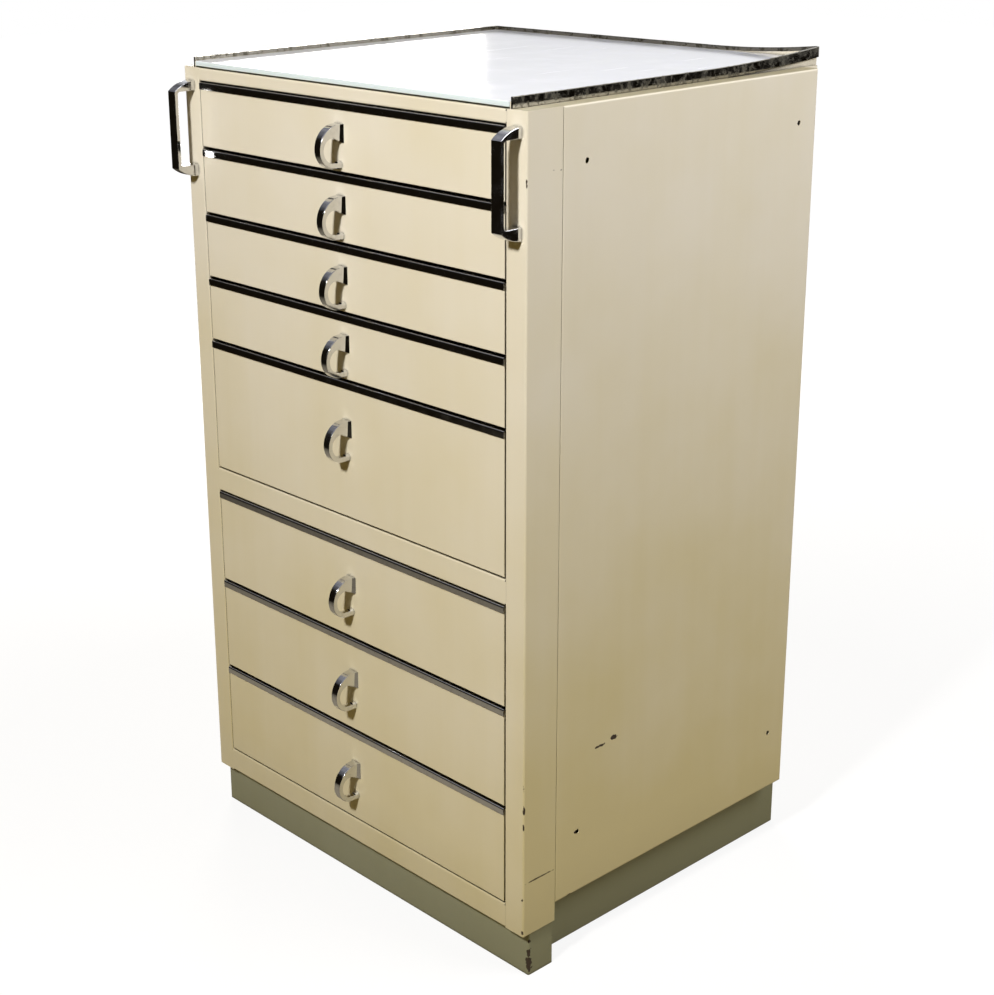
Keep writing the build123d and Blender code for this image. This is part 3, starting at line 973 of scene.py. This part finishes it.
@dataclass
class Drawer:
    """One drawer: box, enamelled front, chrome trim, cast pull and the pull's screws."""

    number: int
    finishes: Finishes
    inner_face: float = 16.0 * MM       # behind the front's face
    foot_drop: float = 9.5 * MM         # pull's top to its upper screw
    knob_rise: float = 3.9 * MM         # pull's bottom to its lower screw
    head_radius: float = 4.0 * MM
    head_height: float = 2.4 * MM
    head_wall: float = 0.55             # share of the head's height that its rim keeps
    crown_flatness: float = 3.0         # power of the radius in the crown's curve
    washer_radius: float = 5.0 * MM
    washer_height: float = 0.9 * MM
    washer_edge: float = 0.15 * MM
    recess_width: float = 0.9 * MM
    recess_reach: float = 2.2 * MM
    recess_depth: float = 1.1 * MM
    recess_slope: float = 0.30          # share of its width over which a recess's side slopes
    recess_end: float = 0.25            # share of its reach over which a recess runs out
    hub: float = 0.02                   # innermost ring, as a share of the head's radius
    ring_power: float = 0.8             # below 1, rings are closer at the rim
    rings: int = 22
    spokes: int = 96

    def build(self) -> None:
        """Dresses the drawer's nodes and adds its screws."""
        for part in ("box", "front", "trim", "pull"):
            self.finishes.dress(f"drawer_{self.number}_{part}")
        self.screws()

    def screws(self) -> bpy.types.Object:
        """Sets the pull's two screws, each on its washer, on the front's inner skin.

        Returns:
            Both screws, as one piece.
        """
        low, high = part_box(f"drawer_{self.number}_pull")
        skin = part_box(f"drawer_{self.number}_front")[0].y + self.inner_face
        across, depth, up = self.head()
        rows, columns = depth.shape
        screw = np.stack([across, skin + depth, up], -1).reshape(-1, 3)
        shell = grid_faces(rows, columns, closed=True).tolist()
        shell.append(list(range(columns))[::-1])
        shell.append([(rows - 1) * columns + k for k in range(columns)])
        heights = (high.z - self.foot_drop, low.z + self.knob_rise)
        points = np.concatenate([screw + [0, 0, height] for height in heights])
        faces = shell + [[index + len(screw) for index in face] for face in shell]
        return make_piece(
            f"drawer_{self.number}_pull_screws", points, faces, f"drawer_{self.number}",
            self.finishes.built[Slot.SCREW],
        )

    def head(self) -> tuple[np.ndarray, np.ndarray, np.ndarray]:
        """Shapes a pan head with a cross recess, on its washer, about its own axis.

        The head is a height over a disc: a wall, and on it a crown of sqrt(1 - r^3), less the
        recess where |x| or |y| is small. Past its rim, the washer drops to the skin.

        Returns:
            Across, depth off the skin and up, each by ring and spoke.
        """
        angle = np.linspace(0, 2 * math.pi, self.spokes, endpoint=False)
        radius = np.linspace(self.hub, 1, self.rings)[:, None] ** self.ring_power * self.head_radius
        across = radius * np.cos(angle)
        up = radius * np.sin(angle)
        share = radius / self.head_radius + 0 * angle
        crown = np.sqrt(np.clip(1 - share ** self.crown_flatness, 0, 1))
        dome = self.head_height * (self.head_wall + (1 - self.head_wall) * crown)
        narrow = np.minimum(np.abs(across), np.abs(up))
        inside = np.clip((self.recess_width - narrow) / (self.recess_slope * self.recess_width), 0, 1)
        inside = inside * np.clip((self.recess_reach - radius) / (self.recess_end * self.recess_reach), 0, 1)
        depth = self.washer_height + dome - self.recess_depth * inside
        rim = np.array([
            (self.head_radius, self.washer_height),
            (self.washer_radius - self.washer_edge, self.washer_height),
            (self.washer_radius, self.washer_height - self.washer_edge),
            (self.washer_radius, 0.0),
        ])
        across = np.concatenate([across, rim[:, :1] * np.cos(angle)])
        up = np.concatenate([up, rim[:, :1] * np.sin(angle)])
        depth = np.concatenate([depth, rim[:, 1:] + 0 * angle])
        return across, depth, up


# ---------------------------------------------------------------- studio


@dataclass(frozen=True)
class Lamp:
    """A soft square lamp that looks at one point."""

    name: str
    place: tuple[float, float, float]
    aim: tuple[float, float, float]
    size: float
    watts: float
    colour: str

    def build(self) -> None:
        """Hangs the lamp."""
        data = bpy.data.lights.new(self.name, "AREA")
        data.shape = "SQUARE"
        data.size = self.size
        data.energy = self.watts
        data.color = linear(self.colour)[:3]
        lamp = bpy.data.objects.new(self.name, data)
        bpy.context.scene.collection.objects.link(lamp)
        lamp.location = self.place
        lamp.rotation_euler = (Vector(self.aim) - Vector(self.place)).to_track_quat("-Z", "Y").to_euler()


@dataclass
class Studio:
    """Pale floor, white surroundings, lamps, and the camera at the photograph's angle."""

    floor_reach: float = 9.0
    floor_colour: str = "#F4F3F0"
    floor_shade: float = 0.16           # share of lamp light in the floor, which carries the shadow
    sweep_reach: Range = (0.7, 2.6)     # the floor whitens between these distances
    sweep_light: Range = (1.02, 1.2)
    bounce: str = "#887A4A"             # the floor as the paint sees it
    near_floor: str = "#938A78"         # the floor beside the cabinet, as polished metal sees it
    near_reach: Range = (0.55, 1.9)
    room: str = "#15110B"               # the dark room that polished metal sees
    ceiling: str = "#C4C5CE"            # its pale ceiling, in patches
    ceiling_rise: Range = (0.45, 0.80)
    patch_scale: float = 5.0
    patch_range: Range = (0.35, 0.6)
    patch_least: float = 0.35
    wall: str = "#F4F5F8"               # and the pale wall behind the cabinet
    wall_reach: Range = (0.25, 0.5)
    warm: str = "#FFCC4A"               # the room's light on the paint
    fill: float = 0.06
    # The camera is the pinhole fitted to the photograph: metres, degrees and millimetres.
    camera_place: tuple[float, float, float] = (1.4088, -1.3772, 1.1290)
    yaw: float = 47.94
    pitch: float = 18.21
    roll: float = -0.76
    lens: float = 65.84
    shift: tuple[float, float] = (0.0729, -0.0553)
    lamps: tuple[Lamp, ...] = (
        Lamp("key lamp", (0.62, -2.08, 2.12), (0.0, -0.2, 0.5), 0.22, 66.0, "#FFFDFA"),
        Lamp("side lamp", (1.72, 0.74, 1.90), (0.26, 0.1, 0.55), 1.2, 36.0, "#FAFBFF"),
        Lamp("back lamp", (-2.0, 1.35, 0.78), (-0.1, 0.15, 0.5), 0.8, 46.0, "#FFFAF2"),
    )

    def build(self) -> None:
        """Sets up the floor, the world, the lamps and the camera."""
        self.floor()
        self.world()
        for lamp in self.lamps:
            lamp.build()
        self.camera()
        bpy.context.scene.view_settings.view_transform = "Standard"

    def floor(self) -> None:
        """Lays a plain square floor.

        The camera sees it white, with the cabinet's shadow. Polished metal sees the brown room
        that such a cabinet stands in: a lit floor close by, and darkness further to the front.
        """
        mesh = bpy.data.meshes.new("floor")
        reach = self.floor_reach
        corners = [(-reach, -reach, 0), (reach, -reach, 0), (reach, reach, 0), (-reach, reach, 0)]
        mesh.from_pydata(corners, [], [(0, 1, 2, 3)])
        floor = bpy.data.objects.new("floor", mesh)
        bpy.context.scene.collection.objects.link(floor)
        material, tree, place = start_material("matt pale floor")
        away = add(tree, "VectorMath", {0: place}, operation="LENGTH").outputs["Value"]
        far = add(
            tree, "MapRange",
            {"Value": away, "From Min": self.near_reach[0], "From Max": self.near_reach[1]},
        )
        seen = add(
            tree, "Mix",
            {0: far.outputs[0], 6: linear(self.near_floor), 7: linear(self.room)},
            data_type="RGBA",
        )
        sweep = add(
            tree, "MapRange",
            {"Value": away, "From Min": self.sweep_reach[0], "From Max": self.sweep_reach[1],
             "To Min": self.sweep_light[0], "To Max": self.sweep_light[1]},
        )
        white = add(tree, "Emission", {"Color": (1, 1, 1, 1), "Strength": sweep.outputs[0]})
        matt = add(tree, "BsdfDiffuse", {"Color": linear(self.floor_colour)})
        shown = add(tree, "MixShader", {0: self.floor_shade, 1: white.outputs[0], 2: matt.outputs[0]})
        mirror = add(tree, "Emission", {"Color": seen.outputs[2], "Strength": 1.0})
        dim = add(tree, "BsdfDiffuse", {"Color": linear(self.bounce)})
        ray = add(tree, "LightPath").outputs
        first = add(tree, "MixShader", {0: ray["Is Glossy Ray"], 1: dim.outputs[0], 2: mirror.outputs[0]})
        both = add(tree, "MixShader", {0: ray["Is Camera Ray"], 1: first.outputs[0], 2: shown.outputs[0]})
        add(tree, "OutputMaterial", {"Surface": both.outputs[0]})
        mesh.materials.append(material)

    def world(self) -> None:
        """White for the camera, a warm fill for paint, and a pale ceiling over a dark room for metal."""
        world = bpy.data.worlds.new("studio")
        bpy.context.scene.world = world
        world.use_nodes = True
        tree = world.node_tree
        tree.nodes.clear()
        way = add(tree, "TexCoord").outputs["Generated"]
        axes = add(tree, "SeparateXYZ", {0: way})
        rise = add(
            tree, "MapRange",
            {"Value": axes.outputs[2], "From Min": self.ceiling_rise[0], "From Max": self.ceiling_rise[1]},
        )
        room = add(
            tree, "Mix",
            {0: rise.outputs[0], 6: linear(self.room), 7: linear(self.ceiling)},
            data_type="RGBA",
        )
        patch = add(tree, "TexNoise", {"Vector": way, "Scale": self.patch_scale, "Detail": 2.0})
        uneven = add(
            tree, "MapRange",
            {"Value": patch.outputs[0], "From Min": self.patch_range[0], "From Max": self.patch_range[1],
             "To Min": self.patch_least, "To Max": 1.0},
        )
        broken = add(
            tree, "Mix", {0: uneven.outputs[0], 6: linear(self.room), 7: room.outputs[2]}, data_type="RGBA",
        )
        behind = add(
            tree, "MapRange",
            {"Value": axes.outputs[1], "From Min": self.wall_reach[0], "From Max": self.wall_reach[1]},
        )
        seen = add(
            tree, "Mix", {0: behind.outputs[0], 6: broken.outputs[2], 7: linear(self.wall)}, data_type="RGBA",
        )
        fill = add(tree, "Background", {"Color": linear(self.warm), "Strength": self.fill})
        mirror = add(tree, "Background", {"Color": seen.outputs[2], "Strength": 1.0})
        white = add(tree, "Background", {"Color": (1, 1, 1, 1), "Strength": 1.0})
        ray = add(tree, "LightPath").outputs
        first = add(tree, "MixShader", {0: ray["Is Glossy Ray"], 1: fill.outputs[0], 2: mirror.outputs[0]})
        both = add(tree, "MixShader", {0: ray["Is Camera Ray"], 1: first.outputs[0], 2: white.outputs[0]})
        add(tree, "OutputWorld", {"Surface": both.outputs[0]})

    def camera(self) -> None:
        """Puts the camera where the photograph was taken: to the front right, looking down a little."""
        yaw, pitch, roll = (math.radians(angle) for angle in (self.yaw, self.pitch, self.roll))
        ahead = Vector((-math.sin(yaw), math.cos(yaw), 0))
        forward = ahead * math.cos(pitch) - Vector((0, 0, math.sin(pitch)))
        level = Vector((math.cos(yaw), math.sin(yaw), 0))
        above = level.cross(forward)
        right = math.cos(roll) * level + math.sin(roll) * above
        up = -math.sin(roll) * level + math.cos(roll) * above
        data = bpy.data.cameras.new("camera")
        data.lens = self.lens
        data.shift_x, data.shift_y = self.shift
        camera = bpy.data.objects.new("camera", data)
        bpy.context.scene.collection.objects.link(camera)
        turn = Matrix((right, up, -forward)).transposed().to_4x4()
        camera.matrix_world = Matrix.Translation(self.camera_place) @ turn
        bpy.context.scene.camera = camera


def main() -> None:
    """Builds the cabinet's finishes and pieces, then the studio."""
    logging.basicConfig(level=logging.INFO, format="%(name)s: %(message)s")
    finishes = Finishes().build()
    Carcass(finishes).build()
    Worktop(finishes).build()
    TowelHandles(finishes).build()
    for number in DRAWERS:
        Drawer(number, finishes).build()
    Studio().build()


if __name__ == "__main__":
    main()
